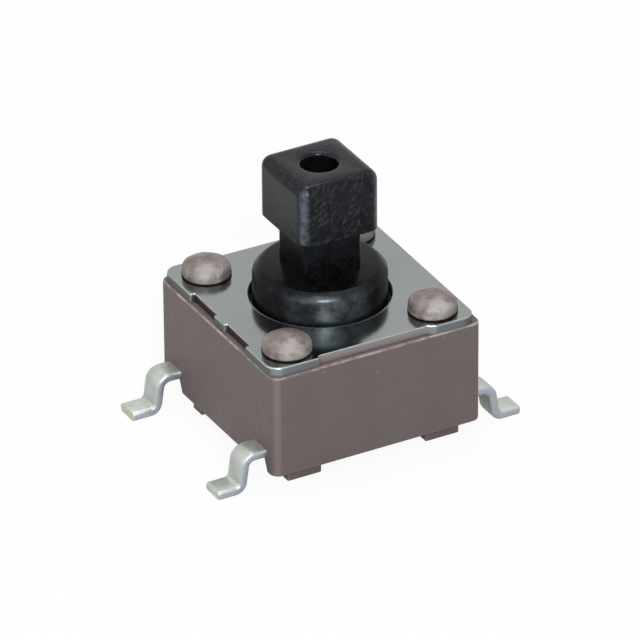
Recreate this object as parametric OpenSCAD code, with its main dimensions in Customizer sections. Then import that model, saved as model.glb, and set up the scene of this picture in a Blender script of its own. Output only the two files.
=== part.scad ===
// Surface-mount tactile push button switch with a tall square actuator. Millimetres.
// The origin is the centre of the footprint on the board plane, and +Z points up.
// X runs across the body from terminal to terminal, so the terminals leave the -X and +X faces.

/* [Body] */
// Side of the square moulded body
body_w = 6; // [5.8:0.1:6.6]
// Radius of the body's upright corners
body_corner_r = 0.25; // [0.1:0.05:0.35]
// Height of the body's underside above the board
body_bottom_z = 0.46; // [0.4:0.02:0.56]
// Height of the ledge that carries the cover plate
body_top_z = 3.32; // [3.2:0.04:3.8]
// Thinnest wall between the round well and the body's side
well_wall = 0.85; // [0.75:0.01:0.88]
// Thickness of the moulding over the contact frames, which is the floor of the well
floor_skin_t = 0.1; // [0.06:0.01:0.14]

/* [Feet] */
// Width of each underside foot, along X
foot_w = 0.97; // [0.7:0.01:1.2]
// Length of each underside foot, along Y
foot_len = 1.55; // [1.3:0.05:1.8]
// Distance from the body's side to the foot, along X
foot_inset_x = 0.53; // [0.5:0.01:0.7]
// Distance from the body's side to the foot, along Y
foot_inset_y = 0.25; // [0.1:0.01:0.3]
// Length of the step at the inner end of each foot, along Y
foot_step_len = 0.45; // [0.3:0.01:0.6]
// Distance by which that step reaches out beside the terminal, along X
foot_step_reach = 0.33; // [0.2:0.01:0.36]
// Gap left between the feet and the board
foot_board_gap = 0.1; // [0.04:0.01:0.2]

/* [Rivet posts] */
// Distance from the body's side to the middle of each staked post, along X
post_inset_x = 0.9; // [0.8:0.01:0.92]
// Distance from the body's side to the middle of each staked post, along Y
post_inset_y = 0.8; // [0.7:0.01:0.9]
// Diameter of each post where it passes through the cover plate
post_d = 0.86; // [0.7:0.02:1]
// Diameter of the staked head on each post
post_head_d = 1.26; // [1.2:0.02:1.34]
// Clearance round each post in the cover plate
post_clearance = 0.02; // [0.01:0.01:0.05]
// Height of the staked head above the cover plate
post_head_h = 0.45; // [0.4:0.01:0.5]
// Radius of the domed crown of the staked head
post_crown_r = 1.25; // [1:0.05:2]
// Radius of the rounded shoulder of the staked head
post_shoulder_r = 0.16; // [0.1:0.01:0.18]
// Bevel under the staked head, where it meets the plate
post_undercut = 0.03; // [0.01:0.01:0.05]

/* [Cover plate] */
// Thickness of the cover plate
plate_t = 0.23; // [0.15:0.01:0.3]
// Distance from the body's side to the edge of the cover plate
plate_inset = 0.04; // [0:0.01:0.1]
// Length cut off each corner of the cover plate
plate_corner_cut = 0.22; // [0.1:0.02:0.3]
// Length of the shallow recess in the front and the rear edge
edge_recess_len = 3.1; // [2:0.1:3.4]
// Depth of the shallow recess in the front and the rear edge
edge_recess_depth = 0.11; // [0.05:0.01:0.15]
// Length of each notch in the edges over the terminals
side_notch_len = 1.15; // [0.8:0.05:1.3]
// Depth of each notch in the edges over the terminals
side_notch_depth = 0.25; // [0.1:0.01:0.27]
// Width of the tab between the two notches
side_tab_w = 0.6; // [0.4:0.05:0.8]
// Distance by which that tab stays behind the edge of the plate
side_tab_back = 0.16; // [0.05:0.01:0.2]
// Distance by which the plate reaches in over the well
plate_lip = 0.33; // [0.25:0.01:0.4]

/* [Plunger] */
// Clearance round the plunger in the plate's opening
stem_clearance = 0.1; // [0.05:0.01:0.14]
// Height of the round stem above the cover plate
stem_h = 0.84; // [0.6:0.02:1]
// Bevel round the top of the stem
stem_bevel = 0.2; // [0.1:0.01:0.25]
// Size of the neck, along X
neck_x = 1.62; // [1.3:0.02:1.8]
// Size of the neck, along Y
neck_y = 1.42; // [1.3:0.02:1.8]
// Length of the neck between the stem and the head
neck_h = 1.21; // [0.8:0.01:1.5]
// Size of the head, along X
head_x = 2.24; // [2:0.02:2.5]
// Size of the head, along Y
head_y = 2.3; // [2:0.02:2.5]
// Height of the head
head_h = 1.75; // [1.2:0.05:2]
// Radius of the head's upright edges
head_edge_r = 0.2; // [0.1:0.01:0.25]
// Radius of the rounded edges round the top of the head
head_top_r = 0.3; // [0.1:0.01:0.35]
// Diameter of the blind hole in the head
head_bore_d = 1; // [0.8:0.02:1.2]
// Depth of the blind hole in the head
head_bore_depth = 1.2; // [0.8:0.1:1.5]
// Bevel round the mouth of the blind hole
head_bore_bevel = 0.05; // [0.02:0.01:0.08]
// Thickness of the flange that the plate holds in
flange_t = 0.6; // [0.4:0.05:0.8]
// Clearance round the flange in the well
flange_clearance = 0.1; // [0.06:0.01:0.2]
// Gap between the flange and the cover plate at rest
flange_gap = 0.02; // [0.01:0.01:0.05]
// Width of the two keys that keep the plunger from turning
key_w = 0.6; // [0.4:0.05:0.8]
// Distance by which each key stands out from the flange
key_reach = 0.25; // [0.15:0.01:0.3]
// Clearance round each key in its groove
key_clearance = 0.06; // [0.04:0.01:0.1]
// Radius of the boss that presses the dome
boss_r = 0.8; // [0.5:0.05:1]
// Gap between the boss and the dome at rest
boss_gap = 0.01; // [0.005:0.005:0.03]
// Bevel round the lower edge of the boss
boss_bevel = 0.12; // [0.05:0.01:0.2]
// Travel of the plunger
travel = 0.25; // [0.2:0.01:0.26]

/* [Snap dome] */
// Clearance round the snap dome in the well
dome_clearance = 0.15; // [0.1:0.01:0.18]
// Thickness of the snap dome
dome_t = 0.07; // [0.05:0.01:0.08]

/* [Contacts] */
// Thickness of the two contact frames
frame_t = 0.24; // [0.2:0.01:0.26]
// Height of the underside of the contact frames above the board
frame_z = 0.86; // [0.82:0.01:0.94]
// Distance from the body's side to the middle of each terminal, along Y
terminal_inset = 0.75; // [0.7:0.01:0.8]
// Width of each terminal
terminal_w = 0.7; // [0.6:0.02:0.8]
// Straight length of a terminal between the body and its upper bend
terminal_reach = 0.3; // [0.2:0.01:0.4]
// Length of the flat end that is soldered to the board
terminal_foot = 0.52; // [0.4:0.02:0.7]
// Radius of the upper bend, at the middle of the metal
upper_bend_r = 0.28; // [0.2:0.01:0.3]
// Radius of the lower bend, at the middle of the metal
lower_bend_r = 0.22; // [0.18:0.01:0.26]
// Lean of the leg between the bends, outwards from the vertical
leg_lean = 8; // [2:1:15]
// Width of the arm that leads to the middle contact
arm_w = 0.7; // [0.5:0.05:0.9]
// Radius of the pad at the middle
centre_pad_r = 0.55; // [0.45:0.05:0.7]
// Radius of the raised contacts
contact_r = 0.27; // [0.2:0.01:0.3]
// Height of the dome's rim above the floor of the well
rim_contact_h = 0.05; // [0.03:0.01:0.08]
// Height of the middle contact above the floor of the well
centre_contact_h = 0.07; // [0.06:0.01:0.1]
// Distance of the rim contacts from the edge of the dome
rim_contact_inset = 0.28; // [0.26:0.01:0.34]
// Width of the arms that lead to the rim contacts
rim_arm_w = 0.6; // [0.55:0.05:0.7]

/* [Terminal reliefs] */
// Width of the relief under a terminal, where it meets the metal
relief_top_w = 0.4; // [0.3:0.02:0.6]
// Width of the relief under a terminal, at the body's underside
relief_bottom_w = 0.74; // [0.66:0.02:0.9]
// Depth of the relief into the body
relief_depth = 0.45; // [0.35:0.01:0.5]

/* [Hidden] */
$fn = 64;
bend_steps = 10;
// Length by which a cutter runs past the surface that it opens
overshoot = 1;
// Depth by which a foot or a post runs into the body that it grows from
overlap = 0.1;
well_r = body_w / 2 - well_wall;
plate_bore_r = well_r - plate_lip;
dome_r = well_r - dome_clearance;
rim_contact_at = dome_r - rim_contact_inset;
terminal_y = body_w / 2 - terminal_inset;
post_at = [body_w / 2 - post_inset_x, body_w / 2 - post_inset_y];
plate_top_z = body_top_z + plate_t;
plate_w = body_w - 2 * plate_inset;
foot_z = foot_board_gap;
frame_top_z = frame_z + frame_t;
floor_z = frame_top_z + floor_skin_t;
rim_z = floor_z + rim_contact_h;
centre_contact_z = floor_z + centre_contact_h;
// At full travel the underside of the dome arrives at the middle contact
dome_rise = centre_contact_z + travel - rim_z;
dome_sphere_r = (dome_r * dome_r + dome_rise * dome_rise) / (2 * dome_rise);
dome_top_z = rim_z + dome_rise + dome_t;
stem_r = plate_bore_r - stem_clearance;
stem_top_z = plate_top_z + stem_h;
flange_r = well_r - flange_clearance;
flange_top_z = body_top_z - flange_gap;
flange_bottom_z = flange_top_z - flange_t;
boss_bottom_z = dome_top_z + boss_gap;
head_bottom_z = stem_top_z + neck_h;
head_top_z = head_bottom_z + head_h;
mirrors = [[1, 1], [-1, 1], [-1, -1], [1, -1]];
moulding_colour = [0.42, 0.36, 0.34];
steel_colour = [0.62, 0.65, 0.64];
plunger_colour = [0.09, 0.09, 0.1];
tin_colour = [0.75, 0.77, 0.74];
dome_colour = [0.8, 0.78, 0.7];

// A rectangle with rounded corners, centred on the origin
module rounded_rectangle(x, y, r) {
    square([x - 2 * r, y], center = true);
    square([x, y - 2 * r], center = true);
    for (m = mirrors)
        translate([m[0] * (x / 2 - r), m[1] * (y / 2 - r)]) circle(r);
}

// Plan of the four feet; the rear pair has a step that reaches out between the terminals
module feet_plan() {
    outer_x = body_w / 2 - foot_inset_x;
    outer_y = body_w / 2 - foot_inset_y;
    inner_x = outer_x - foot_w;
    inner_y = outer_y - foot_len;
    step_x = outer_x + foot_step_reach;
    step_y = inner_y + foot_step_len;
    for (side = [-1, 1]) {
        polygon([for (p = [[inner_x, inner_y], [step_x, inner_y], [step_x, step_y],
                           [outer_x, step_y], [outer_x, outer_y], [inner_x, outer_y]])
                 [side * p[0], p[1]]]);
        polygon([for (p = [[inner_x, -step_y], [outer_x, -step_y], [outer_x, -outer_y], [inner_x, -outer_y]])
                 [side * p[0], p[1]]]);
    }
}

module feet() {
    translate([0, 0, foot_z]) linear_extrude(body_bottom_z - foot_z + overlap) feet_plan();
}

// Section of a staked post: a shank through the plate under a domed button with a round shoulder
module staked_post_section() {
    head_r = post_head_d / 2;
    shoulder_x = head_r - post_shoulder_r;
    crown_centre_z = post_head_h - post_crown_r;
    to_shoulder = post_crown_r - post_shoulder_r;
    shoulder_z = crown_centre_z + sqrt(to_shoulder * to_shoulder - shoulder_x * shoulder_x);
    // The crown and the shoulder run into each other without a crease at this point
    meet_x = shoulder_x * post_crown_r / to_shoulder;
    meet_z = crown_centre_z + (shoulder_z - crown_centre_z) * post_crown_r / to_shoulder;
    translate([0, -plate_t - overlap]) square([post_d / 2, plate_t + 2 * overlap]);
    polygon([[0, 0], [head_r - post_undercut, 0], [head_r, post_undercut], [head_r, shoulder_z],
             [shoulder_x, shoulder_z], [meet_x, meet_z], [0, meet_z]]);
    translate([shoulder_x, shoulder_z]) circle(post_shoulder_r);
    intersection() {
        translate([0, crown_centre_z]) circle(post_crown_r, $fn = 360);
        translate([0, meet_z]) square([meet_x, post_head_h - meet_z + overlap]);
    }
}

module staked_posts() {
    for (m = mirrors)
        translate([m[0] * post_at[0], m[1] * post_at[1], plate_top_z])
            rotate_extrude() staked_post_section();
}

// The round well with the two grooves that guide the plunger's keys
module well() {
    groove_r = flange_r + key_reach + key_clearance;
    groove_w = key_w + 2 * key_clearance;
    translate([0, 0, floor_z]) cylinder(r = well_r, h = body_top_z - floor_z + overshoot);
    translate([-groove_r, -groove_w / 2, flange_bottom_z - travel - key_clearance])
        cube([2 * groove_r, groove_w, body_top_z - flange_bottom_z + travel + overshoot]);
}

// Flared relief in the side of the body under each terminal
module terminal_reliefs() {
    low_z = body_bottom_z - overshoot;
    flare = (relief_bottom_w - relief_top_w) / 2 / (frame_z - body_bottom_z);
    low_w = relief_bottom_w + 2 * flare * overshoot;
    for (side_x = [-1, 1])
        for (side_y = [-1, 1])
            translate([side_x * (body_w / 2 + overshoot - (relief_depth + overshoot) / 2),
                       side_y * terminal_y, 0])
                rotate([90, 0, 90])
                    linear_extrude(relief_depth + overshoot, center = true)
                        polygon([[-low_w / 2, low_z], [low_w / 2, low_z],
                                 [relief_top_w / 2, frame_z], [-relief_top_w / 2, frame_z]]);
}

module housing() {
    color(moulding_colour) {
        difference() {
            union() {
                translate([0, 0, body_bottom_z])
                    linear_extrude(body_top_z - body_bottom_z)
                        rounded_rectangle(body_w, body_w, body_corner_r);
                feet();
            }
            well();
            terminal_reliefs();
            for (side = [-1, 1])
                translate([0, side * terminal_y, frame_z + frame_t / 2])
                    cube([body_w + 2 * overshoot, terminal_w, frame_t], center = true);
            centre_frame_arm();
            rim_frame_arms();
        }
        staked_posts();
        // The rest that carries the dome's rim over the arm of the middle contact
        translate([0, rim_contact_at, floor_z - floor_skin_t / 2])
            cylinder(r = contact_r, h = rim_contact_h + floor_skin_t / 2);
    }
}

// The outline's first quarter, from the middle of the +X edge round to the middle of the +Y edge
function plate_quarter() =
    let (half = plate_w / 2, recess = edge_recess_len / 2, tab = side_tab_w / 2,
         notch = tab + side_notch_len, notch_x = half - side_notch_depth)
    [[half - side_tab_back, tab], [notch_x, tab], [notch_x, notch], [half, notch],
     [half, half - plate_corner_cut], [half - plate_corner_cut, half],
     [recess, half], [recess, half - edge_recess_depth]];

module plate_outline() {
    quarter = plate_quarter();
    last = len(quarter) - 1;
    polygon([for (m = mirrors) for (i = [0:last])
             let (p = quarter[m[0] * m[1] > 0 ? i : last - i]) [m[0] * p[0], m[1] * p[1]]]);
}

module cover_plate() {
    post_hole_r = post_d / 2 + post_clearance;
    color(steel_colour)
        translate([0, 0, body_top_z])
            linear_extrude(plate_t)
                difference() {
                    plate_outline();
                    circle(plate_bore_r);
                    for (m = mirrors)
                        translate([m[0] * post_at[0], m[1] * post_at[1]])
                            circle(post_hole_r);
                }
}

// Half section of the plunger's round parts, from the boss up to the stem
module plunger_section() {
    polygon([[0, boss_bottom_z], [boss_r - boss_bevel, boss_bottom_z],
             [boss_r, boss_bottom_z + boss_bevel], [boss_r, flange_bottom_z],
             [flange_r, flange_bottom_z], [flange_r, flange_top_z], [stem_r, flange_top_z],
             [stem_r, stem_top_z - stem_bevel], [stem_r - stem_bevel, stem_top_z],
             [0, stem_top_z]]);
}

// Side view of the head, which is w wide
module head_side(w) {
    inner_x = w / 2 - head_top_r;
    translate([-w / 2, head_bottom_z]) square([w, head_h - head_top_r]);
    translate([-inner_x, head_bottom_z]) square([2 * inner_x, head_h]);
    for (side = [-1, 1])
        translate([side * inner_x, head_top_z - head_top_r]) circle(head_top_r);
}

// The square head, with round upright edges and rounder edges round its top
module head() {
    intersection() {
        translate([0, 0, head_bottom_z])
            linear_extrude(head_h) rounded_rectangle(head_x, head_y, head_edge_r);
        rotate([90, 0, 0]) linear_extrude(head_y, center = true) head_side(head_x);
        rotate([90, 0, 90]) linear_extrude(head_x, center = true) head_side(head_y);
    }
}

module plunger() {
    key_r = flange_r + key_reach;
    mouth_r = head_bore_d / 2;
    color(plunger_colour)
        difference() {
            union() {
                rotate_extrude() plunger_section();
                translate([-key_r, -key_w / 2, flange_bottom_z]) cube([2 * key_r, key_w, flange_t]);
                translate([-neck_x / 2, -neck_y / 2, stem_top_z - stem_bevel])
                    cube([neck_x, neck_y, neck_h + 2 * stem_bevel]);
                head();
            }
            translate([0, 0, head_top_z - head_bore_depth])
                cylinder(r = mouth_r, h = head_bore_depth + overshoot);
            translate([0, 0, head_top_z - head_bore_bevel])
                cylinder(r1 = mouth_r, r2 = mouth_r + 2 * head_bore_bevel, h = 2 * head_bore_bevel);
        }
}

module snap_dome() {
    centre_z = rim_z + dome_rise - dome_sphere_r;
    color(dome_colour)
        rotate_extrude()
            intersection() {
                translate([0, centre_z])
                    difference() {
                        circle(dome_sphere_r + dome_t, $fn = 720);
                        circle(dome_sphere_r, $fn = 720);
                    }
                translate([0, rim_z]) square([dome_r, dome_rise + dome_t + overshoot]);
            }
}

// Points along a round bend, from one angle to another
function arc_points(centre, r, from, to) =
    [for (i = [0:bend_steps]) let (a = from + (to - from) * i / bend_steps) centre + r * [cos(a), sin(a)]];

// Side view of a gull-wing terminal, from the body's face out to its tip
module terminal_profile(body_side) {
    half_t = frame_t / 2;
    upper = [body_side + terminal_reach, frame_z + half_t - upper_bend_r];
    leg_top = upper + upper_bend_r * [cos(leg_lean), sin(leg_lean)];
    leg_drop = leg_top[1] - half_t - lower_bend_r * (1 - sin(leg_lean));
    leg_end = leg_top + leg_drop * [tan(leg_lean), -1];
    lower = leg_end + lower_bend_r * [cos(leg_lean), sin(leg_lean)];
    tip_x = lower[0] + terminal_foot;
    polygon(concat(
        [[body_side, frame_z], [body_side, frame_z + frame_t]],
        arc_points(upper, upper_bend_r + half_t, 90, leg_lean),
        arc_points(lower, lower_bend_r - half_t, 180 + leg_lean, 270),
        [[tip_x, frame_t], [tip_x, 0]],
        arc_points(lower, lower_bend_r + half_t, 270, 180 + leg_lean),
        arc_points(upper, upper_bend_r - half_t, leg_lean, 90)));
}

// The straight strip that crosses the body with a terminal bent at each end
module terminal_strip(side) {
    translate([0, side * terminal_y, 0])
        rotate([90, 0, 0])
            linear_extrude(terminal_w, center = true) {
                for (flip = [0, 1])
                    mirror([flip, 0]) terminal_profile(body_w / 2);
                translate([-body_w / 2, frame_z]) square([body_w, frame_t]);
            }
}

// Arm from the rear strip to the raised contact in the middle
module centre_frame_arm() {
    arm_len = terminal_y - terminal_w / 2;
    translate([0, 0, frame_z]) {
        linear_extrude(frame_t) {
            translate([-arm_w / 2, 0]) square([arm_w, arm_len]);
            circle(centre_pad_r);
        }
        cylinder(r = contact_r, h = centre_contact_z - frame_z);
    }
}

// Arms from the front strip to the three raised contacts under the dome's rim
module rim_frame_arms() {
    start_y = terminal_w / 2 - terminal_y;
    places = [[-1, 0], [1, 0], [0, -1]];
    translate([0, 0, frame_z]) {
        linear_extrude(frame_t)
            for (at = places * rim_contact_at) {
                translate([at[0] - rim_arm_w / 2, start_y]) square([rim_arm_w, at[1] - start_y]);
                translate(at) circle(rim_arm_w / 2);
            }
        for (at = places * rim_contact_at)
            translate(at) cylinder(r = contact_r, h = rim_z - frame_z);
    }
}

module contact_frame_centre() {
    color(tin_colour) {
        terminal_strip(1);
        centre_frame_arm();
    }
}

module contact_frame_rim() {
    color(tin_colour) {
        terminal_strip(-1);
        rim_frame_arms();
    }
}

housing();
cover_plate();
plunger();
snap_dome();
contact_frame_centre();
contact_frame_rim();
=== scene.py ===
import math

import bmesh
import bpy
from mathutils import Matrix, Vector, noise


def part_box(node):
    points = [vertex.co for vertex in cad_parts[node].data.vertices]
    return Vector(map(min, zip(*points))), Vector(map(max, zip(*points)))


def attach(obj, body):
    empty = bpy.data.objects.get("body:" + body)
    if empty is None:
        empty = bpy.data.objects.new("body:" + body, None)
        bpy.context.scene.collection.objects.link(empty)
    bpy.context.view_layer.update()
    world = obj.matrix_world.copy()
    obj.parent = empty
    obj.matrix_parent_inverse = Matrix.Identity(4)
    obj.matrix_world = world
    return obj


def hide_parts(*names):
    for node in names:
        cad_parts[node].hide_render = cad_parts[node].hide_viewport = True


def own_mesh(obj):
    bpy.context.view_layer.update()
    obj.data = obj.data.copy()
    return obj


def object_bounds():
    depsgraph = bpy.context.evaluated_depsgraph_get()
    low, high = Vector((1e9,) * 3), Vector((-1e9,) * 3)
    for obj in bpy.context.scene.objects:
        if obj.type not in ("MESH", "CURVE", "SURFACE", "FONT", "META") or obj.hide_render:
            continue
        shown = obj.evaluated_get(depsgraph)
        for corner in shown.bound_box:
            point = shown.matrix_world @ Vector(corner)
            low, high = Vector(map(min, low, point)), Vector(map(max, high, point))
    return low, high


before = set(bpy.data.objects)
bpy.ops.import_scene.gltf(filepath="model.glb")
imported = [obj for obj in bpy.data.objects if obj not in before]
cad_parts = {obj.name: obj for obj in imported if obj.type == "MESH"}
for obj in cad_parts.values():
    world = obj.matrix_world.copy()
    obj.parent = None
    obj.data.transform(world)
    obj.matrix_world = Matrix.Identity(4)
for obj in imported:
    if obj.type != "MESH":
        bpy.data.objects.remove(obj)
cadBox = [list(corner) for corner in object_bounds()]
mm = 0.001
sharpAngle = math.radians(28)  # a fold sharper than this is an edge that gets rounded
near = 0.01  # mm, heights closer than this count as the same
postAt = (2.1, 2.2)  # mm from the axis along X and Y, the four staked posts
print("frame loaded:", sorted(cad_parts))


# Camera

cameraView = {
    "azimuth": -28.79,  # degrees, 0 looks along +Y
    "elevation": 29.93,
    "roll": -0.40,
    "distance": 250.26,  # mm
    "aim": (0, 0, 2.0),  # mm, a point on the switch's axis
    "slide": (-0.012, 0.615),  # mm to the right and up, which sets the framing
    "lens": 555.9,
}


def direction(azimuth, elevation):
    a = math.radians(azimuth)
    e = math.radians(elevation)
    return Vector((math.sin(a) * math.cos(e), -math.cos(a) * math.cos(e), math.sin(e)))


def addCamera(view):
    back = direction(view["azimuth"], view["elevation"])
    right = Vector((0, 0, 1)).cross(back).normalized()
    up = back.cross(right)
    roll = math.radians(view["roll"])
    rolledRight = right * math.cos(roll) + up * math.sin(roll)
    rolledUp = up * math.cos(roll) - right * math.sin(roll)
    place = Vector(view["aim"]) + back * view["distance"]
    place += rolledRight * view["slide"][0] + rolledUp * view["slide"][1]
    data = bpy.data.cameras.new("photo_camera")
    data.lens = view["lens"]
    data.sensor_width = 36
    data.clip_start = 0.01
    data.clip_end = 10
    cam = bpy.data.objects.new("photo_camera", data)
    matrix = cam.matrix_world.to_3x3()
    matrix.col[0] = rolledRight
    matrix.col[1] = rolledUp
    matrix.col[2] = back
    cam.matrix_world = matrix.to_4x4()
    cam.location = place * mm
    bpy.context.scene.collection.objects.link(cam)
    bpy.context.scene.camera = cam


# Small helpers for node trees

def addNode(tree, kind, inputs=None, **settings):
    node = tree.nodes.new(kind)
    for key, value in settings.items():
        setattr(node, key, value)
    for key, value in (inputs or {}).items():
        if isinstance(value, bpy.types.NodeSocket):
            tree.links.new(value, node.inputs[key])
        else:
            node.inputs[key].default_value = value
    return node


def calc(tree, operation, first, second=0.0):
    return addNode(tree, "ShaderNodeMath", {0: first, 1: second}, operation=operation).outputs[0]


def product(tree, first, *others):
    for other in others:
        first = calc(tree, "MULTIPLY", first, other)
    return first


def spread(tree, value, low, high, toLow=0.0, toHigh=1.0, smooth=False):
    # Follows a value from low to high, and stays level past both
    node = addNode(tree, "ShaderNodeMapRange", {0: value, 1: low, 2: high, 3: toLow, 4: toHigh},
                   clamp=True, interpolation_type="SMOOTHSTEP" if smooth else "LINEAR")
    return node.outputs[0]


def mixColour(tree, factor, first, second):
    return addNode(tree, "ShaderNodeMix", {0: factor, 6: first, 7: second}, data_type="RGBA").outputs[2]


def noiseOf(tree, vector, scale, detail=4.0, rough=0.6):
    inputs = {"Vector": vector, "Scale": scale, "Detail": detail, "Roughness": rough}
    return addNode(tree, "ShaderNodeTexNoise", inputs).outputs[0]


def mapped(tree, vector, **settings):
    return addNode(tree, "ShaderNodeMapping", {"Vector": vector, **settings}).outputs[0]


def partsOf(tree, vector):
    return addNode(tree, "ShaderNodeSeparateXYZ", {0: vector}).outputs


def normalOf(tree):
    return addNode(tree, "ShaderNodeTexCoord").outputs["Normal"]


def towards(tree, vector, side):
    node = addNode(tree, "ShaderNodeVectorMath", {0: vector, 1: side}, operation="DOT_PRODUCT")
    return node.outputs["Value"]


def lengthOf(tree, vector):
    return addNode(tree, "ShaderNodeVectorMath", {0: vector}, operation="LENGTH").outputs["Value"]


def paint(colour):
    # A shader takes linear colour, and the settings give the usual 0 to 255
    linear = []
    for level in colour:
        share = level / 255
        linear.append(share / 12.92 if level <= 10 else ((share + 0.055) / 1.055) ** 2.4)
    return (*linear, 1.0)


# Shared finishes, each a node group

def newGroup(name, inputs, outputs):
    group = bpy.data.node_groups.new(name, "ShaderNodeTree")
    for label, kind, value in inputs:
        socket = group.interface.new_socket(name=label, in_out="INPUT", socket_type=kind)
        socket.default_value = value
    for label, kind in outputs:
        group.interface.new_socket(name=label, in_out="OUTPUT", socket_type=kind)
    source = group.nodes.new("NodeGroupInput").outputs
    target = group.nodes.new("NodeGroupOutput").inputs
    return group, source, target


def makeMottle():
    # Two tones that drift into each other
    group, source, target = newGroup(
        "mottle",
        [("Vector", "NodeSocketVector", (0, 0, 0)), ("Scale", "NodeSocketFloat", 1.0),
         ("Softness", "NodeSocketFloat", 0.2), ("First", "NodeSocketColor", (0.5, 0.5, 0.5, 1)),
         ("Second", "NodeSocketColor", (0.5, 0.5, 0.5, 1))],
        [("Color", "NodeSocketColor")])
    cloud = noiseOf(group, source["Vector"], source["Scale"], 6.0, 0.62)
    low = calc(group, "SUBTRACT", 0.5, source["Softness"])
    high = calc(group, "ADD", 0.5, source["Softness"])
    mask = spread(group, cloud, low, high)
    group.links.new(mixColour(group, mask, source["First"], source["Second"]), target["Color"])
    return group


def makeGrain():
    # Fine surface texture in two sizes, for bump and for gloss
    group, source, target = newGroup(
        "grain",
        [("Vector", "NodeSocketVector", (0, 0, 0)), ("Scale", "NodeSocketFloat", 10.0),
         ("Fineness", "NodeSocketFloat", 3.0)],
        [("Height", "NodeSocketFloat"), ("Gloss", "NodeSocketFloat")])
    coarse = noiseOf(group, source["Vector"], source["Scale"], 3.0, 0.55)
    fine = noiseOf(group, source["Vector"], product(group, source["Scale"], source["Fineness"]), 2.0, 0.5)
    height = calc(group, "ADD", product(group, coarse, 0.65), product(group, fine, 0.35))
    group.links.new(height, target["Height"])
    group.links.new(spread(group, coarse, 0.3, 0.7), target["Gloss"])
    return group


def makeSpecks():
    # Scattered small flecks, a share of the cells of a cell pattern
    group, source, target = newGroup(
        "specks",
        [("Vector", "NodeSocketVector", (0, 0, 0)), ("Scale", "NodeSocketFloat", 6.0),
         ("Share", "NodeSocketFloat", 0.2), ("Size", "NodeSocketFloat", 0.3)],
        [("Mask", "NodeSocketFloat")])
    cells = addNode(group, "ShaderNodeTexVoronoi",
                    {"Vector": source["Vector"], "Scale": source["Scale"], "Randomness": 1.0}).outputs
    flecks = spread(group, cells["Distance"], product(group, source["Size"], 0.4), source["Size"], 1.0, 0.0)
    pick = addNode(group, "ShaderNodeSeparateColor", {0: cells["Color"]}).outputs
    chosen = calc(group, "LESS_THAN", pick[0], source["Share"])
    strength = spread(group, pick[1], 0.0, 1.0, 0.3, 1.0)
    group.links.new(product(group, flecks, chosen, strength), target["Mask"])
    return group


def makeEdgeWear():
    # Outer edges, partly rubbed and partly a painted highlight, broken up by noise, and painted shade in
    # the inner corners
    group, source, target = newGroup(
        "edge wear, sheen and shade",
        [("Vector", "NodeSocketVector", (0, 0, 0)), ("Reach", "NodeSocketFloat", 0.0001),
         ("Breakup", "NodeSocketFloat", 6.0)],
        [("EdgeWearAndSheen", "NodeSocketFloat"), ("CornerShade", "NodeSocketFloat")])
    inside = addNode(group, "ShaderNodeAmbientOcclusion", {"Distance": source["Reach"]},
                     samples=8, inside=True, only_local=True)
    farther = product(group, source["Reach"], 3.0)
    outside = addNode(group, "ShaderNodeAmbientOcclusion", {"Distance": farther}, samples=8, inside=False)
    broken = noiseOf(group, source["Vector"], source["Breakup"], 4.0, 0.65)
    patches = spread(group, broken, 0.3, 0.62, 0.25, 1.0)
    edge = spread(group, inside.outputs["AO"], 0.82, 0.35)
    group.links.new(product(group, edge, patches), target["EdgeWearAndSheen"])
    group.links.new(spread(group, outside.outputs["AO"], 0.75, 0.2), target["CornerShade"])
    return group


finishes = {
    "mottle": makeMottle(),
    "grain": makeGrain(),
    "specks": makeSpecks(),
    "edge wear, sheen and shade": makeEdgeWear(),
}
print("shared finishes are made")


def useGroup(tree, name, **inputs):
    return addNode(tree, "ShaderNodeGroup", inputs, node_tree=finishes[name]).outputs


def newMaterial(name, **surface):
    # Returns the material, its tree and shader, and the place on the piece in millimetres
    material = bpy.data.materials.new(name)
    material.use_nodes = True
    tree = material.node_tree
    shader = tree.nodes["Principled BSDF"]
    for key, value in surface.items():
        shader.inputs[key.replace("_", " ")].default_value = value
    place = addNode(tree, "ShaderNodeTexCoord").outputs["Object"]
    return material, tree, shader, mapped(tree, place, Scale=(1 / mm, 1 / mm, 1 / mm))


def addBump(tree, shader, height, depth, before=None):
    inputs = {"Height": height, "Strength": 1.0, "Distance": depth * mm}
    if before:
        inputs["Normal"] = before
    bump = addNode(tree, "ShaderNodeBump", inputs)
    tree.links.new(bump.outputs[0], shader.inputs["Normal"])
    return bump.outputs[0]


# Small helpers for shapes

def mergedCopy(node):
    # A closed mesh made from a copy of a node's loose triangles, with its flat faces whole
    bm = bmesh.new()
    bm.from_mesh(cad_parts[node].data)
    bmesh.ops.remove_doubles(bm, verts=bm.verts, dist=0.0002 * mm)
    dissolveFlat(bm)
    return bm


def dissolveFlat(bm):
    bmesh.ops.dissolve_limit(bm, angle_limit=math.radians(0.4), verts=bm.verts, edges=bm.edges)


def middle(edge):
    return (edge.verts[0].co + edge.verts[1].co) / (2 * mm)


def isUpright(edge):
    run = edge.verts[1].co - edge.verts[0].co
    return abs(run.z) > 0.99 * run.length


def edgesOf(verts):
    return {edge for vert in verts for edge in vert.link_edges}


def bevelEdges(bm, edges, width, segments):
    bmesh.ops.bevel(bm, geom=list(edges), offset=width * mm, offset_type="OFFSET", segments=segments,
                    profile=0.5, affect="EDGES", material=-1, clamp_overlap=False)


def roundEdges(bm, width, segments, chosen):
    edges = [edge for edge in bm.edges
             if edge.is_manifold and edge.calc_face_angle() > sharpAngle and chosen(edge, middle(edge))]
    bevelEdges(bm, edges, width, segments)


def addBlock(bm, x, y, bottom, top):
    made = bmesh.ops.create_cube(bm, size=1)["verts"]
    bmesh.ops.scale(bm, vec=Vector((x, y, top - bottom)) * mm, verts=made)
    bmesh.ops.translate(bm, vec=(0, 0, (top + bottom) / 2 * mm), verts=made)
    return made


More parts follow.
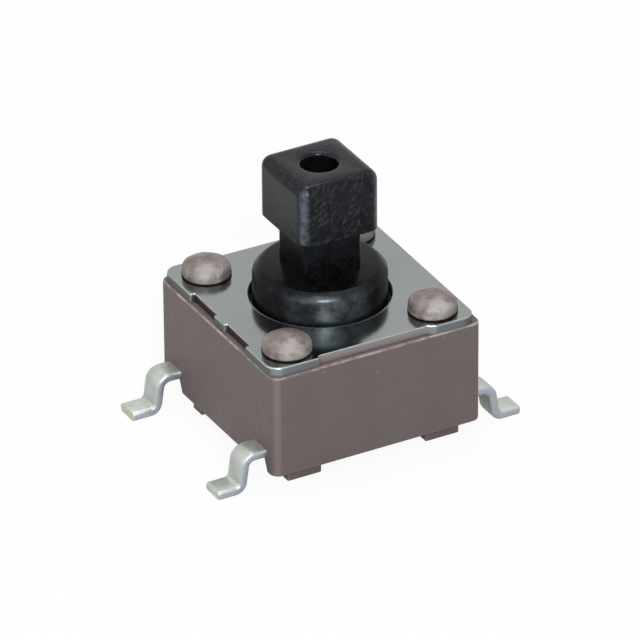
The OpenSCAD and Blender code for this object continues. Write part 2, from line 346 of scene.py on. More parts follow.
def addRing(bm, centre, radius, height, count):
    ring = bmesh.ops.create_circle(bm, cap_ends=False, radius=radius * mm, segments=count)["verts"]
    bmesh.ops.translate(bm, vec=Vector((centre[0], centre[1], height)) * mm, verts=ring)
    return ring


def addTurned(bm, profile, steps):
    # Spins a half section, given as radius and height, round the switch's axis
    line = [bm.verts.new(Vector((radius, 0, height)) * mm) for radius, height in profile]
    edges = [bm.edges.new(pair) for pair in zip(line, line[1:])]
    bmesh.ops.spin(bm, geom=line + edges, cent=(0, 0, 0), axis=(0, 0, 1), angle=math.tau, steps=steps,
                   use_merge=True)


def finishPiece(bm, name, body, node, material):
    mesh = bpy.data.meshes.new(name)
    for face in bm.faces:
        face.smooth = True
    bm.to_mesh(mesh)
    bm.free()
    mesh.set_sharp_from_angle(angle=math.radians(38))
    mesh.materials.append(material)
    piece = bpy.data.objects.new(name, mesh)
    bpy.context.scene.collection.objects.link(piece)
    even = piece.modifiers.new("even_shading", "WEIGHTED_NORMAL")
    even.keep_sharp = True
    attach(piece, body)
    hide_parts(node)
    print("made", name, len(mesh.polygons), "faces")
    return piece


# Light, world and floor

studio = {
    "worldLight": 0.17,
    "floorPaint": 0.86,
    "floorKeep": 0.07,  # how much of the floor's own shade the camera sees
    "floorHalf": 600,  # mm
    "floorBelow": 0.002,  # mm under the switch's lowest point
    "softboxes": {
        "key_softbox": {"azimuth": 151, "elevation": 74, "distance": 150, "size": 50, "power": 0.075,
                        "colour": (1.0, 0.99, 0.98)},
        "front_softbox": {"azimuth": -20, "elevation": 33, "distance": 170, "size": 44, "power": 0.18,
                          "colour": (0.9, 0.95, 1.0)},
        "upper_softbox": {"azimuth": -26, "elevation": 60, "distance": 160, "size": 34, "power": 0.045,
                          "colour": (0.92, 0.96, 1.0)},
        "left_softbox": {"azimuth": -92, "elevation": 30, "distance": 170, "size": 220, "power": 0.115,
                         "colour": (1.0, 0.99, 0.97)},
    },
}


def addSoftbox(name, box):
    data = bpy.data.lights.new(name, "AREA")
    data.shape = "SQUARE"
    data.size = box["size"] * mm
    data.energy = box["power"]
    data.color = box["colour"]
    lamp = bpy.data.objects.new(name, data)
    away = direction(box["azimuth"], box["elevation"])
    lamp.location = (Vector(cameraView["aim"]) + away * box["distance"]) * mm
    lamp.rotation_euler = away.to_track_quat("Z", "Y").to_euler()
    bpy.context.scene.collection.objects.link(lamp)


def makeWorld():
    # The camera and the reflections see plain white, and the object gets a weaker even light
    world = bpy.data.worlds.new("studio_world")
    world.use_nodes = True
    tree = world.node_tree
    tree.nodes.clear()
    white = (1, 1, 1, 1)
    light = addNode(tree, "ShaderNodeBackground", {"Color": white, "Strength": studio["worldLight"]})
    shown = addNode(tree, "ShaderNodeBackground", {"Color": white, "Strength": 1.0})
    path = addNode(tree, "ShaderNodeLightPath").outputs
    seen = calc(tree, "MAXIMUM", path["Is Camera Ray"], path["Is Glossy Ray"])
    seen = calc(tree, "MAXIMUM", seen, path["Is Transmission Ray"])
    mixed = addNode(tree, "ShaderNodeMixShader", {0: seen, 1: light.outputs[0], 2: shown.outputs[0]})
    output = addNode(tree, "ShaderNodeOutputWorld")
    tree.links.new(mixed.outputs[0], output.inputs["Surface"])
    bpy.context.scene.world = world


def makeFloorMaterial():
    material = bpy.data.materials.new("pale_floor")
    material.use_nodes = True
    tree = material.node_tree
    shader = tree.nodes["Principled BSDF"]
    shader.inputs["Base Color"].default_value = (studio["floorPaint"],) * 3 + (1.0,)
    shader.inputs["Roughness"].default_value = 0.9
    shader.inputs["Specular IOR Level"].default_value = 0.1
    glow = addNode(tree, "ShaderNodeEmission", {"Color": (1, 1, 1, 1), "Strength": 1.0})
    path = addNode(tree, "ShaderNodeLightPath").outputs
    seen = product(tree, path["Is Camera Ray"], 1 - studio["floorKeep"])
    mixed = addNode(tree, "ShaderNodeMixShader", {0: seen, 1: shader.outputs[0], 2: glow.outputs[0]})
    tree.links.new(mixed.outputs[0], tree.nodes["Material Output"].inputs["Surface"])
    return material


def makeFloor():
    bm = bmesh.new()
    bmesh.ops.create_grid(bm, x_segments=1, y_segments=1, size=studio["floorHalf"] * mm)
    bmesh.ops.translate(bm, vec=(0, 0, cadBox[0][2] - studio["floorBelow"] * mm), verts=bm.verts)
    mesh = bpy.data.meshes.new("studio_floor")
    bm.to_mesh(mesh)
    bm.free()
    mesh.materials.append(makeFloorMaterial())
    floor = bpy.data.objects.new("studio_floor", mesh)
    bpy.context.scene.collection.objects.link(floor)


# Housing: the moulded body with its four staked posts

housing = {
    "topRound": 0.07,  # mm
    "rimReach": 0.12,  # the top rim's edges lie this close to the sides
    "lowRound": 0.04,
    "lowFrom": 0.84,  # edges below this height are low ones
    "draft": 0.006,  # each side is this much further in at the underside
    "bodyBottom": 0.46,
    "wallReach": 0.15,  # the outer walls' points lie this close to the sides
    "headLean": {  # how far the staking pressed each head off its post
        (-1, -1): (-0.055, 0.02),
        (1, -1): (-0.09, -0.02),
        (-1, 1): (0.03, 0.0),
        (1, 1): (0.0, 0.0),
    },
    "headUnderRound": 0.06,
    "postReach": 0.5,  # past this distance from a post's middle lies only its head
    "unevenness": 0.018,
    "unevenScale": 2.6,
    "unevenFrom": 3.58,  # above this height the heads are uneven
    "dark": (93, 81, 79),
    "light": (99, 88, 86),
    "grainShare": 0.25,
    "speck": (150, 138, 132),
    "speckShare": 0.55,
    # pale edges, partly wear and partly a painted highlight
    "edge": (150, 128, 120),
    "edgeShare": 0.7,
    # painted highlight line along the top edge
    "rim": (182, 165, 152),
    "rimAt": (3.25, 3.315),  # mm, the height of the painted highlight line along the top edge
    # painted shade for the inner corners
    "corner": (66, 56, 52),
    "cornerShadeShare": 0.5,
    "sheen": (154, 139, 137),
    "sheenShare": 0.18,
    "sheenSide": (-0.5, -0.866, 0.0),  # the upright corner with a painted highlight
    "stakedDark": (105, 91, 86),
    "stakedLight": (136, 125, 120),
    # painted highlight on the heads
    "stakedHighlight": (188, 184, 179),
    "highlightSpot": (-0.25, -0.48),  # mm from a head's middle to the middle of its painted highlight
    "highlightSpotSize": (0.48, 0.02),  # mm, where the spot ends and where it is full
    "highlightSpotShare": 0.52,
    "stakedFrom": 3.5,  # mm, above this height lie only the staked heads
}


def makeMouldingMaterial():
    look = housing
    material, tree, shader, place = newMaterial("moulded_resin", Specular_IOR_Level=0.32)
    at = partsOf(tree, place)
    height = at[2]
    # Two browns with pale specks, and edges made paler, partly by wear and partly as a painted highlight
    wide = useGroup(tree, "mottle", Vector=place, Scale=0.9, Softness=0.22,
                    First=paint(look["dark"]), Second=paint(look["light"]))
    fine = useGroup(tree, "grain", Vector=place, Scale=5.0, Fineness=2.0)
    grainy = product(tree, fine["Gloss"], look["grainShare"])
    body = mixColour(tree, grainy, wide["Color"], paint(look["dark"]))
    specks = useGroup(tree, "specks", Vector=place, Scale=3.2, Share=0.13, Size=0.16)
    body = mixColour(tree, product(tree, specks["Mask"], look["speckShare"]), body, paint(look["speck"]))
    wearAndShading = useGroup(tree, "edge wear, sheen and shade", Vector=place, Reach=0.12 * mm, Breakup=3.5)
    body = mixColour(tree, product(tree, wearAndShading["EdgeWearAndSheen"], look["edgeShare"]), body, paint(look["edge"]))
    # A painted highlight runs down the front upright corner
    facing = towards(tree, normalOf(tree), look["sheenSide"])
    sheen = product(tree, spread(tree, facing, 0.87, 0.99, smooth=True), look["sheenShare"])
    body = mixColour(tree, sheen, body, paint(look["sheen"]))
    # A painted highlight line along the top edge comes and goes
    low, high = look["rimAt"]
    rim = product(tree, spread(tree, height, low, low + 0.03), spread(tree, height, high, high - 0.02))
    rim = product(tree, rim, spread(tree, noiseOf(tree, place, 2.2), 0.4, 0.6, 0.15, 0.9))
    body = mixColour(tree, rim, body, paint(look["rim"]))
    # The staked heads are paler and have a painted highlight spot on one side
    staked = useGroup(tree, "mottle", Vector=place, Scale=3.4, Softness=0.12,
                      First=paint(look["stakedDark"]), Second=paint(look["stakedLight"]))
    squares = []
    for axis in (0, 1):
        centre = product(tree, calc(tree, "SIGN", at[axis]), postAt[axis])
        offset = calc(tree, "SUBTRACT", calc(tree, "SUBTRACT", at[axis], centre), look["highlightSpot"][axis])
        squares.append(product(tree, offset, offset))
    away = calc(tree, "SQRT", calc(tree, "ADD", squares[0], squares[1]))
    ragged = calc(tree, "SUBTRACT", noiseOf(tree, place, 3.2, 3.0, 0.5), 0.5)
    bright = spread(tree, calc(tree, "ADD", away, ragged), *look["highlightSpotSize"], smooth=True)
    bright = product(tree, bright, look["highlightSpotShare"])
    headColour = mixColour(tree, bright, staked["Color"], paint(look["stakedHighlight"]))
    onHead = spread(tree, height, look["stakedFrom"], look["stakedFrom"] + 0.12, smooth=True)
    colour = mixColour(tree, onHead, body, headColour)
    # Painted shade darkens the inner corners
    paintedCornerShade = product(tree, wearAndShading["CornerShade"], look["cornerShadeShare"])
    tree.links.new(mixColour(tree, paintedCornerShade, colour, paint(look["corner"])), shader.inputs["Base Color"])
    dull = spread(tree, fine["Gloss"], 0.0, 1.0, 0.46, 0.56)
    dull = calc(tree, "SUBTRACT", dull, product(tree, onHead, 0.14))
    tree.links.new(dull, shader.inputs["Roughness"])
    hammered = product(tree, noiseOf(tree, place, 5.0), onHead)
    first = addBump(tree, shader, fine["Height"], 0.004)
    addBump(tree, shader, hammered, 0.07, first)
    return material


def makeHousing(material):
    shape = housing
    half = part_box("housing")[1].y / mm
    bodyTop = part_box("cover_plate")[0].z / mm
    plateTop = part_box("cover_plate")[1].z / mm
    bm = mergedCopy("housing")

    def onTopRim(edge, at):
        return abs(at.z - bodyTop) < near and max(abs(at.x), abs(at.y)) > half - shape["rimReach"]

    def isLow(edge, at):
        return at.z < shape["lowFrom"]

    def fromPost(at):
        return (Vector((abs(at.x), abs(at.y))) - Vector(postAt)).length

    def onHeadRim(edge, at):
        return abs(at.z - plateTop) < near and fromPost(at) > shape["postReach"]

    roundEdges(bm, shape["topRound"], 4, onTopRim)
    roundEdges(bm, shape["lowRound"], 4, isLow)
    roundEdges(bm, shape["headUnderRound"], 4, onHeadRim)
    height = bodyTop - shape["bodyBottom"]
    for vert in bm.verts:
        at = vert.co / mm
        if at.z < bodyTop and max(abs(at.x), abs(at.y)) > half - shape["wallReach"]:
            narrower = 1 - shape["draft"] / half * (bodyTop - at.z) / height
            vert.co.x *= narrower
            vert.co.y *= narrower
    # The staking pressed each head a little off its post, by its own amount
    for vert in bm.verts:
        at = vert.co / mm
        if at.z > plateTop + near or (at.z > plateTop - near and fromPost(at) > shape["postReach"]):
            lean = shape["headLean"][(1 if at.x > 0 else -1, 1 if at.y > 0 else -1)]
            vert.co += Vector((lean[0], lean[1], 0)) * mm
    # Each head is also a little uneven
    bm.normal_update()
    for vert in bm.verts:
        at = vert.co / mm
        if at.z > shape["unevenFrom"]:
            vert.co += vert.normal * shape["unevenness"] * mm * noise.noise(at * shape["unevenScale"])
    finishPiece(bm, "housing_moulding", "base", "housing", material)


# Cover plate: the stamping that the posts hold down

cover = {
    "cornerRound": 0.373,  # mm
    "recessLength": 3.1,
    "recessDepth": 0.11,
    "recessRound": 0.06,
    "recessEase": 0.2,  # the recess runs out this gently at its +X end
    "notchLength": 1.2,
    "notchDepth": 0.14,
    "notchForward": 0.06,  # the notches and the tab lie this much nearer the front
    "tabWidth": 0.56,
    "tabBack": 0.04,
    "notchRound": 0.046,
    "bore": 1.82,
    "postHole": 0.45,
    "rolledEdge": 0.04,  # the stamping's upper edge is rolled over by this much
    "rollSteps": 6,
    "sideIn": 0.03,  # the sides over the terminals lie this much further in than the others
    "turned": -0.75,  # degrees, the plate lies slightly askew on its posts
    "shifted": (-0.035, 0.0),
    "steel": (148, 153, 152),
    "steelShade": (139, 145, 144),
    "cutEdge": (98, 98, 97),
    # painted brown reflection of the moulding on the recesses' cut sides
    "cutRecessReflection": (156, 137, 132),
    # painted highlight on the cut sides where they face the front
    "cutGlint": (130, 136, 144),
    "glintSide": (-0.5, -0.866, 0.0),
    "notchShade": (52, 47, 44),
    "notchFrom": 2.89,  # mm from the middle, further in lie only the notches' cut faces
    "recessFrom": 2.75,  # mm from the middle along Y, further out lie the recesses
    # painted highlight on the rolled upper edge
    "rolled": (164, 168, 166),
    "farReflection": (96, 82, 76),
    "farLine": 2.86,  # mm from the middle along X
    "farSpan": (0.3, 1.45),  # mm from the middle along Y, the length of the brown line
    "lipEnd": 1.9,  # mm from the axis
}


def makeCoverMaterial():
    look = cover
    material, tree, shader, place = newMaterial("stamped_steel", Metallic=1.0)
    at = partsOf(tree, place)
    besideX = calc(tree, "ABSOLUTE", at[0])
    besideY = calc(tree, "ABSOLUTE", at[1])
    normal = normalOf(tree)
    up = partsOf(tree, normal)[2]
    side = spread(tree, up, 0.25, 0.05)
    tone = useGroup(tree, "mottle", Vector=place, Scale=0.7, Softness=0.3,
                    First=paint(look["steel"]), Second=paint(look["steelShade"]))
    # The cut sides are darker, with a painted brown reflection of the moulding in the recesses and a
    # painted highlight at the front corner
    recessEnd = look["recessLength"] / 2 + look["recessEase"]
    inRecess = spread(tree, besideX, recessEnd, recessEnd - 0.25)
    cut = mixColour(tree, inRecess, paint(look["cutEdge"]), paint(look["cutRecessReflection"]))
    glint = spread(tree, towards(tree, normal, look["glintSide"]), 0.78, 0.99, smooth=True)
    cut = mixColour(tree, glint, cut, paint(look["cutGlint"]))
    colour = mixColour(tree, side, tone["Color"], cut)
    # The rolled upper edge gets a painted highlight in places
    rolled = product(tree, spread(tree, up, 0.97, 0.85), spread(tree, up, 0.4, 0.7))
    patchy = spread(tree, noiseOf(tree, place, 5.0, 3.0, 0.5), 0.35, 0.6, 0.3, 1.0)
    colour = mixColour(tree, product(tree, rolled, patchy), colour, paint(look["rolled"]))
    # The notches' cut faces lie in shade
    reach = calc(tree, "MAXIMUM", besideX, besideY)
    shaded = product(tree, side, spread(tree, reach, look["notchFrom"], look["notchFrom"] - 0.05, 0.0, 0.9))
    shaded = product(tree, shaded, spread(tree, besideY, look["recessFrom"], look["recessFrom"] - 0.05))
    colour = mixColour(tree, shaded, colour, paint(look["notchShade"]))
    # Along the far side runs a thin painted reflection of the moulding's brown
    start, end = look["farSpan"]
    line = product(tree, spread(tree, besideY, start, start + 0.06), spread(tree, besideY, end, end - 0.06))
    line = product(tree, line, spread(tree, at[0], look["farLine"], look["farLine"] + 0.01), 0.85)
    colour = mixColour(tree, line, colour, paint(look["farReflection"]))
    tree.links.new(colour, shader.inputs["Base Color"])
    # Rolling lines on the flat, and a dull burnished lip round the punched opening
    rolling = mapped(tree, place, Scale=(0.5, 9.0, 1.0))
    lines = useGroup(tree, "grain", Vector=rolling, Scale=4.0, Fineness=3.0)
    plain = spread(tree, lines["Gloss"], 0.0, 1.0, 0.13, 0.17)
    fromAxis = lengthOf(tree, mapped(tree, place, Scale=(1.0, 1.0, 0.0)))
    lip = spread(tree, fromAxis, look["lipEnd"], look["lipEnd"] - 0.05)
    dull = calc(tree, "MAXIMUM", product(tree, side, 0.5), product(tree, lip, 0.4))
    dull = calc(tree, "MAXIMUM", dull, product(tree, rolled, 0.24))
    tree.links.new(calc(tree, "ADD", plain, dull), shader.inputs["Roughness"])
    addBump(tree, shader, lines["Height"], 0.0002)
    return material


def roundedCorner(before, corner, after, radius, steps):
    # The points of the arc that rounds a corner between two straight edges
    back = (before - corner).normalized()
    ahead = (after - corner).normalized()
    half = back.angle(ahead) / 2
    start = corner + back * (radius / math.tan(half))
    end = corner + ahead * (radius / math.tan(half))
    centre = corner + (back + ahead).normalized() * (radius / math.sin(half))
    sweep = (start - centre).angle_signed(end - centre)
    points = []
    for step in range(steps + 1):
        arm = start - centre
        arm.rotate(Matrix.Rotation(-sweep * step / steps, 2))
        points.append(centre + arm)
    return points


def coverCorners(shape, half):
    # The outline's corners in turn, each with its rounding
    side = half - shape["sideIn"]
    tab = shape["tabWidth"] / 2
    notchEnd = tab + shape["notchLength"]
    recess = shape["recessLength"] / 2
    ease = Vector((shape["recessEase"], 0))
    quarter = [
        (side - shape["tabBack"], tab, shape["notchRound"]),
        (side - shape["notchDepth"], tab, shape["notchRound"]),
        (side - shape["notchDepth"], notchEnd, shape["notchRound"]),
        (side, notchEnd, shape["notchRound"]),
        (side, half, shape["cornerRound"]),
        (recess, half, shape["recessRound"]),
        (recess, half - shape["recessDepth"], shape["recessRound"]),
    ]
    lie = Matrix.Rotation(math.radians(shape["turned"]), 2)
    corners = []
    for signX, signY in ((1, 1), (-1, 1), (-1, -1), (1, -1)):
        # The far side shows no step at its notches, so it is made plain
        shown = quarter if signX < 0 else quarter[4:]
        for x, y, rounding in (shown if signX == signY else shown[::-1]):
            forward = shape["notchForward"] if y <= notchEnd else 0
            corner = Vector((signX * x, signY * y - forward))
            if signX > 0 and (x, y) == (recess, half):
                corner += ease
            corners.append((lie @ corner + Vector(shape["shifted"]), rounding))
    return corners


def makeCover(material):
    shape = cover
    low, high = (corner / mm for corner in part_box("cover_plate"))
    corners = coverCorners(shape, high.y)
    outline = []
    for index, (corner, rounding) in enumerate(corners):
        following = corners[(index + 1) % len(corners)][0]
        outline += roundedCorner(corners[index - 1][0], corner, following, rounding, 12)
    bm = bmesh.new()
    verts = [bm.verts.new(Vector((point.x, point.y, low.z)) * mm) for point in outline]
    for index, vert in enumerate(verts):
        bm.edges.new((verts[index - 1], vert))
    addRing(bm, (0, 0), shape["bore"], low.z, 128)
    for signX in (-1, 1):
        for signY in (-1, 1):
            addRing(bm, (signX * postAt[0], signY * postAt[1]), shape["postHole"], low.z, 32)
    bmesh.ops.triangle_fill(bm, use_beauty=True, use_dissolve=False, edges=bm.edges[:])
    sheet = bmesh.ops.extrude_face_region(bm, geom=bm.faces[:], use_keep_orig=True)["geom"]
    top = [item for item in sheet if isinstance(item, bmesh.types.BMFace)]
    moved = [item for item in sheet if isinstance(item, bmesh.types.BMVert)]
    straight = high.z - low.z - shape["rolledEdge"]
    bmesh.ops.translate(bm, vec=(0, 0, straight * mm), verts=moved)
    bmesh.ops.recalc_face_normals(bm, faces=bm.faces)
    for step in range(shape["rollSteps"]):
        before = math.radians(90 * step / shape["rollSteps"])
        after = math.radians(90 * (step + 1) / shape["rollSteps"])
        inward = shape["rolledEdge"] * (math.cos(before) - math.cos(after))
        upward = shape["rolledEdge"] * (math.sin(after) - math.sin(before))
        bmesh.ops.inset_region(bm, faces=top, thickness=inward * mm, depth=0, use_boundary=True,
                               use_even_offset=True)
        verts = {vert for face in top for vert in face.verts}
        bmesh.ops.translate(bm, vec=(0, 0, upward * mm), verts=list(verts))
    dissolveFlat(bm)
    finishPiece(bm, "cover_plate_stamping", "base", "cover_plate", material)


# Plunger: head, neck, stem, flange, keys and boss in one moulding

plunger = {
    "headX": 2.27,  # mm
    "headY": 2.33,
    "headBelow": 0.07,  # the head's top lies this much below the part's highest point
    "headBottom": 5.6,
    "headRound": 0.3,
    "headLowRound": 0.025,
    "hole": 0.47,
    "holeMouth": 0.11,
    "mouthSteps": 4,
    "holeDepth": 1.2,
    "neckX": 1.62,
    "neckY": 1.42,
    "neckRound": 0.09,
    "stemTop": 4.39,
    "stem": 1.72,
    "stemBevel": 0.2,
    "stemRound": 0.06,
    "stemSteps": 144,
    "flange": 2.05,
    "flangeTop": 3.3,
    "flangeThick": 0.6,
    "boss": 0.8,
    "bossBevel": 0.12,
    "keyWidth": 0.6,
    "keyReach": 2.3,
    "keyRound": 0.04,
    "black": (5, 5, 6),
    "grey": (17, 17, 19),
    "stroke": (58, 59, 64),
    "strokeTurn": (0.3, -0.75, 0.2),
    "strokeScale": 13.0,
    "strokeStretch": 0.46,
    "wornFrom": 5.4,  # mm, above this height the keycap has rubbed the surface
    "mouth": (0.56, 0.66),  # mm from the axis, no rub marks inside the first
    # edges partly rubbed and partly a painted highlight
    "edge": (96, 102, 116),
    "edgeShare": 0.8,
    # painted highlight down the head's upright corners
    "corner": (84, 88, 97),
    "cornerFrom": (0.87, 0.9),  # mm from the middle, along X and Y
    "slidFrom": 1.5,  # mm from the axis
    "slidTo": 4.42,  # mm, above this height nothing slides
    "slidSide": (-0.33, -0.94, 0.0),
    "bevelAt": (4.15, 4.3),  # mm, from here to there the polish fades
    "glossRise": (5.6, 7.4),  # mm, the head's gloss grows with the height
}


def makePlungerMaterial():
    look = plunger
    material, tree, shader, place = newMaterial("black_resin", Specular_Tint=(0.84, 0.92, 1.0, 1.0))
    at = partsOf(tree, place)
    height = at[2]
    flat = mapped(tree, place, Scale=(1.0, 1.0, 0.0))
    fromAxis = lengthOf(tree, flat)
    onHead = spread(tree, height, look["headBottom"] + 0.05, look["headBottom"] + 0.15)
    tone = useGroup(tree, "mottle", Vector=place, Scale=4.5, Softness=0.12,
                    First=paint(look["black"]), Second=paint(look["grey"]))
    # Short slanted rub marks, strongest on the head's front and back
    turned = mapped(tree, place, Rotation=look["strokeTurn"])
    drawn = mapped(tree, turned, Scale=(1.0, 1.0, look["strokeStretch"]))
    strokes = spread(tree, noiseOf(tree, drawn, look["strokeScale"], 3.0, 0.62), 0.48, 0.7)
    worn = spread(tree, height, look["wornFrom"], look["wornFrom"] + 0.3, 0.25, 1.0)
    faceOn = calc(tree, "ABSOLUTE", partsOf(tree, normalOf(tree))[1])
    worn = product(tree, worn, spread(tree, faceOn, 0.2, 0.8, 0.55, 1.0))
    clouds = spread(tree, noiseOf(tree, place, 1.6, 2.0, 0.5), 0.35, 0.65, 0.35, 1.0)
    strokes = product(tree, strokes, worn, clouds, spread(tree, fromAxis, *look["mouth"]))
    colour = mixColour(tree, strokes, tone["Color"], paint(look["stroke"]))
    # The head's upright corners get a painted highlight in patches, and its other edges a mix of rub and
    # painted highlight
    patches = noiseOf(tree, place, 5.0, 4.0, 0.65)
    upright = product(tree, onHead, spread(tree, patches, 0.38, 0.6, 0.3, 1.0))
    for axis in (0, 1):
        start = look["cornerFrom"][axis]
        across = calc(tree, "ABSOLUTE", at[axis])
        upright = product(tree, upright, spread(tree, across, start, start + 0.18, smooth=True))
    colour = mixColour(tree, upright, colour, paint(look["corner"]))
    wearAndShading = useGroup(tree, "edge wear, sheen and shade", Vector=place, Reach=0.18 * mm, Breakup=7.0)
    wornAndLitEdges = product(tree, wearAndShading["EdgeWearAndSheen"], onHead, look["edgeShare"])
    tree.links.new(mixColour(tree, wornAndLitEdges, colour, paint(look["edge"])), shader.inputs["Base Color"])
    # The stem's wall and bevel are polished on the side that slides in the cover's opening
    outward = addNode(tree, "ShaderNodeVectorMath", {0: flat}, operation="NORMALIZE").outputs["Vector"]
    toward = towards(tree, outward, look["slidSide"])
    onWall = product(tree, spread(tree, fromAxis, look["slidFrom"], look["slidFrom"] + 0.04),
                     spread(tree, height, look["slidTo"], look["slidTo"] - 0.05),
                     spread(tree, height, *look["bevelAt"], 1.0, 0.3))
    streaks = noiseOf(tree, place, 3.6, 4.0, 0.65)
    slid = product(tree, onWall, spread(tree, toward, 0.68, 0.96, smooth=True),
                   spread(tree, streaks, 0.36, 0.58, 0.3, 1.0))
    gloss = spread(tree, slid, 0.0, 1.0, 0.08, 1.0)
    gloss = calc(tree, "ADD", gloss, spread(tree, height, *look["glossRise"], 0.0, 0.13))
    tree.links.new(gloss, shader.inputs["Specular IOR Level"])
    grain = useGroup(tree, "grain", Vector=place, Scale=8.0, Fineness=2.6)
    dull = spread(tree, grain["Gloss"], 0.0, 1.0, 0.2, 0.3)
    dull = calc(tree, "ADD", dull, product(tree, onWall, 0.12))
    tree.links.new(dull, shader.inputs["Roughness"])
    rough = calc(tree, "ADD", grain["Height"], product(tree, strokes, 0.3))
    addBump(tree, shader, rough, 0.0022)
    return material


def addHead(bm, shape, top):
    verts = addBlock(bm, shape["headX"], shape["headY"], shape["headBottom"], top)
    low = min(vert.co.z for vert in verts)
    upper = {edge for edge in edgesOf(verts) if any(vert.co.z != low for vert in edge.verts)}
    bevelEdges(bm, upper, shape["headRound"], 8)
    rim = [edge for edge in bm.edges
           if edge.is_manifold and edge.calc_face_angle() > math.radians(80)
           and all(abs(vert.co.z - low) < 0.001 * mm for vert in edge.verts)]
    bevelEdges(bm, rim, shape["headLowRound"], 2)
    # The blind hole: the flat top is opened and filled again round a ring
    flat = max(bm.faces, key=lambda face: face.calc_center_median().z)
    frameEdges = list(flat.edges)
    bmesh.ops.delete(bm, geom=[flat], context="FACES_ONLY")
    last = shape["hole"] + shape["holeMouth"]
    ringEdges = list(edgesOf(addRing(bm, (0, 0), last, top, 64)))
    bmesh.ops.triangle_fill(bm, use_beauty=True, use_dissolve=False, edges=frameEdges + ringEdges)
    path = []
    for step in range(1, shape["mouthSteps"] + 1):
        turn = math.radians(90 * step / shape["mouthSteps"])
        path.append((shape["hole"] + shape["holeMouth"] * (1 - math.sin(turn)),
                     top - shape["holeMouth"] * (1 - math.cos(turn))))
    path.append((shape["hole"], top - shape["holeDepth"]))
    height = top
    for radius, nextHeight in path:
        wall = bmesh.ops.extrude_edge_only(bm, edges=ringEdges)["geom"]
        verts = [item for item in wall if isinstance(item, bmesh.types.BMVert)]
        ringEdges = [item for item in wall if isinstance(item, bmesh.types.BMEdge)
                     and all(vert in verts for vert in item.verts)]
        bmesh.ops.scale(bm, vec=(radius / last, radius / last, 1), verts=verts)
        bmesh.ops.translate(bm, vec=(0, 0, (nextHeight - height) * mm), verts=verts)
        last = radius
        height = nextHeight
    bmesh.ops.contextual_create(bm, geom=ringEdges)


def makePlunger(material):
    shape = plunger
    low, high = (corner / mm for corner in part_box("plunger"))
    bm = bmesh.new()
    addHead(bm, shape, high.z - shape["headBelow"])
    neck = addBlock(bm, shape["neckX"], shape["neckY"], shape["stemTop"] - 0.1, shape["headBottom"] + 0.1)
    bevelEdges(bm, [edge for edge in edgesOf(neck) if isUpright(edge)], shape["neckRound"], 5)
    flangeLow = shape["flangeTop"] - shape["flangeThick"]
    stem = shape["stem"]
    inner = stem - shape["stemBevel"]
    shoulder = shape["stemTop"] - shape["stemBevel"]
    soft = shape["stemRound"]
    addTurned(bm, [
        (0, low.z),
        (shape["boss"] - shape["bossBevel"], low.z),
        (shape["boss"], low.z + shape["bossBevel"]),
        (shape["boss"], flangeLow),
        (shape["flange"], flangeLow),
        (shape["flange"], shape["flangeTop"]),
        (stem, shape["flangeTop"]),
        (stem, shoulder - soft),
        (stem - 0.3 * soft, shoulder + 0.3 * soft),
        (inner + 0.3 * soft, shape["stemTop"] - 0.3 * soft),
        (inner - soft, shape["stemTop"]),
        (0, shape["stemTop"]),
    ], shape["stemSteps"])
    keys = addBlock(bm, 2 * shape["keyReach"], shape["keyWidth"], flangeLow, shape["flangeTop"])
    bevelEdges(bm, [edge for edge in edgesOf(keys) if isUpright(edge)], shape["keyRound"], 3)
    bmesh.ops.recalc_face_normals(bm, faces=bm.faces)
    finishPiece(bm, "plunger_moulding", "button", "plunger", material)


# Lead frames: the two stampings with the terminals

leads = {
    "sideRound": 0.09,  # mm
    "tipRound": 0.08,
    "shearedTip": 0.012,
    "coveredLength": 0.3,  # inside the body, where the rounding starts
    "tin": (188, 191, 183),
    "tinShade": (166, 171, 168),
    # painted shade on the strip's sides
    "side": (160, 164, 173),
    "sideShadeShare": 0.85,
    # pale edges, partly wear and partly a painted highlight
    "edge": (226, 230, 240),
    "edgeShare": 0.75,
    "cutEnd": (184, 184, 156),
    "cutFrom": 4.36,  # mm from the middle, where a sheared end begins
}


def makeTinMaterial():
    look = leads
    material, tree, shader, place = newMaterial("tinned_bronze", Metallic=0.8)
    tone = useGroup(tree, "mottle", Vector=place, Scale=2.4, Softness=0.25,
                    First=paint(look["tin"]), Second=paint(look["tinShade"]))
    # The sides of the strip are painted darker and bluer than its top, a painted shade
    sideways = calc(tree, "ABSOLUTE", partsOf(tree, normalOf(tree))[1])
    onSide = spread(tree, sideways, 0.6, 0.95, 0.0, look["sideShadeShare"])
    colour = mixColour(tree, onSide, tone["Color"], paint(look["side"]))
    # The rounded edges are paler, partly wear and partly a painted highlight
    wearAndShading = useGroup(tree, "edge wear, sheen and shade", Vector=place, Reach=0.09 * mm, Breakup=5.0)
    colour = mixColour(tree, product(tree, wearAndShading["EdgeWearAndSheen"], look["edgeShare"]), colour, paint(look["edge"]))
    across = calc(tree, "ABSOLUTE", partsOf(tree, place)[0])
    cut = spread(tree, across, look["cutFrom"], look["cutFrom"] + 0.01)
    patch = spread(tree, noiseOf(tree, place, 2.0, 2.0, 0.5), 0.3, 0.7, 0.2, 1.0)
    colour = mixColour(tree, product(tree, cut, patch), colour, paint(look["cutEnd"]))
    tree.links.new(colour, shader.inputs["Base Color"])
    grain = useGroup(tree, "grain", Vector=place, Scale=7.0, Fineness=3.0)
    tree.links.new(spread(tree, grain["Gloss"], 0.0, 1.0, 0.38, 0.52), shader.inputs["Roughness"])
    addBump(tree, shader, grain["Height"], 0.006)
    return material


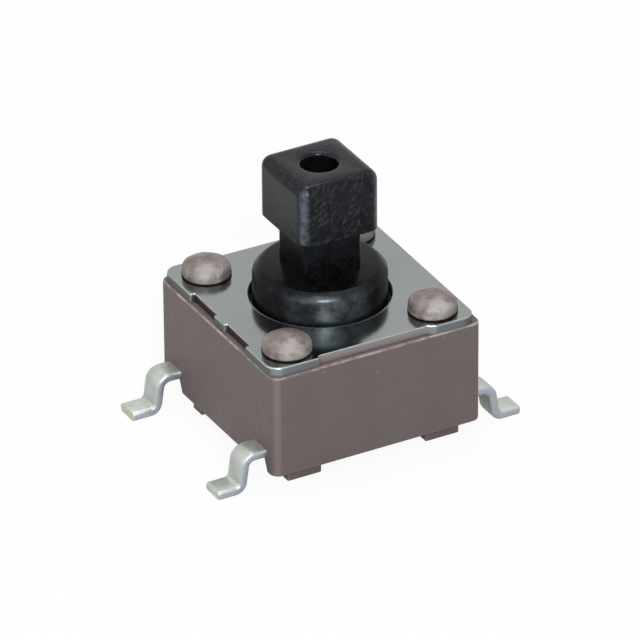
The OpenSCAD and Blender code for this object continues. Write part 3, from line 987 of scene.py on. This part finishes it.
def makeLeads(node, name, material):
    shape = leads
    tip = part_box(node)[1].x / mm
    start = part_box("housing")[1].y / mm - shape["coveredLength"]
    bm = mergedCopy(node)
    for side in (-1, 1):
        bmesh.ops.bisect_plane(bm, geom=bm.verts[:] + bm.edges[:] + bm.faces[:], dist=0.0002 * mm,
                               plane_co=(side * start * mm, 0, 0), plane_no=(1, 0, 0))

    def onTip(edge, at):
        return abs(at.x) > tip - near / 2

    def onSide(edge, at):
        return abs(at.x) > start + near and not onTip(edge, at)

    def onSheared(edge, at):
        return onTip(edge, at) and at.x < 0 < at.y

    def onSoftTip(edge, at):
        return onTip(edge, at) and not onSheared(edge, at)

    roundEdges(bm, shape["sideRound"], 4, onSide)
    roundEdges(bm, shape["shearedTip"], 2, onSheared)
    roundEdges(bm, shape["tipRound"], 4, onSoftTip)
    finishPiece(bm, name, "base", node, material)


# Snap dome: the spring disc that the plunger pushes flat

dome = {
    "steel": (206, 203, 194),
    "shade": (188, 186, 178),
}


def makeDomeMaterial():
    look = dome
    material, tree, shader, place = newMaterial("spring_steel", Metallic=1.0)
    tone = useGroup(tree, "mottle", Vector=place, Scale=1.6, Softness=0.25,
                    First=paint(look["steel"]), Second=paint(look["shade"]))
    tree.links.new(tone["Color"], shader.inputs["Base Color"])
    grain = useGroup(tree, "grain", Vector=place, Scale=12.0, Fineness=3.0)
    tree.links.new(spread(tree, grain["Gloss"], 0.0, 1.0, 0.18, 0.3), shader.inputs["Roughness"])
    addBump(tree, shader, grain["Height"], 0.001)
    return material


def makeDome(material):
    piece = finishPiece(mergedCopy("snap_dome"), "snap_dome_disc", "base", "snap_dome", material)
    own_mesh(piece)


addCamera(cameraView)
bpy.context.scene.view_settings.view_transform = "Standard"
makeWorld()
for name, box in studio["softboxes"].items():
    addSoftbox(name, box)
makeFloor()
print("camera, light and floor are set")

makeHousing(makeMouldingMaterial())
makeCover(makeCoverMaterial())
makePlunger(makePlungerMaterial())
tin = makeTinMaterial()
makeLeads("contact_frame_centre", "rear_lead_frame", tin)
makeLeads("contact_frame_rim", "front_lead_frame", tin)
makeDome(makeDomeMaterial())
print("pieces are made")
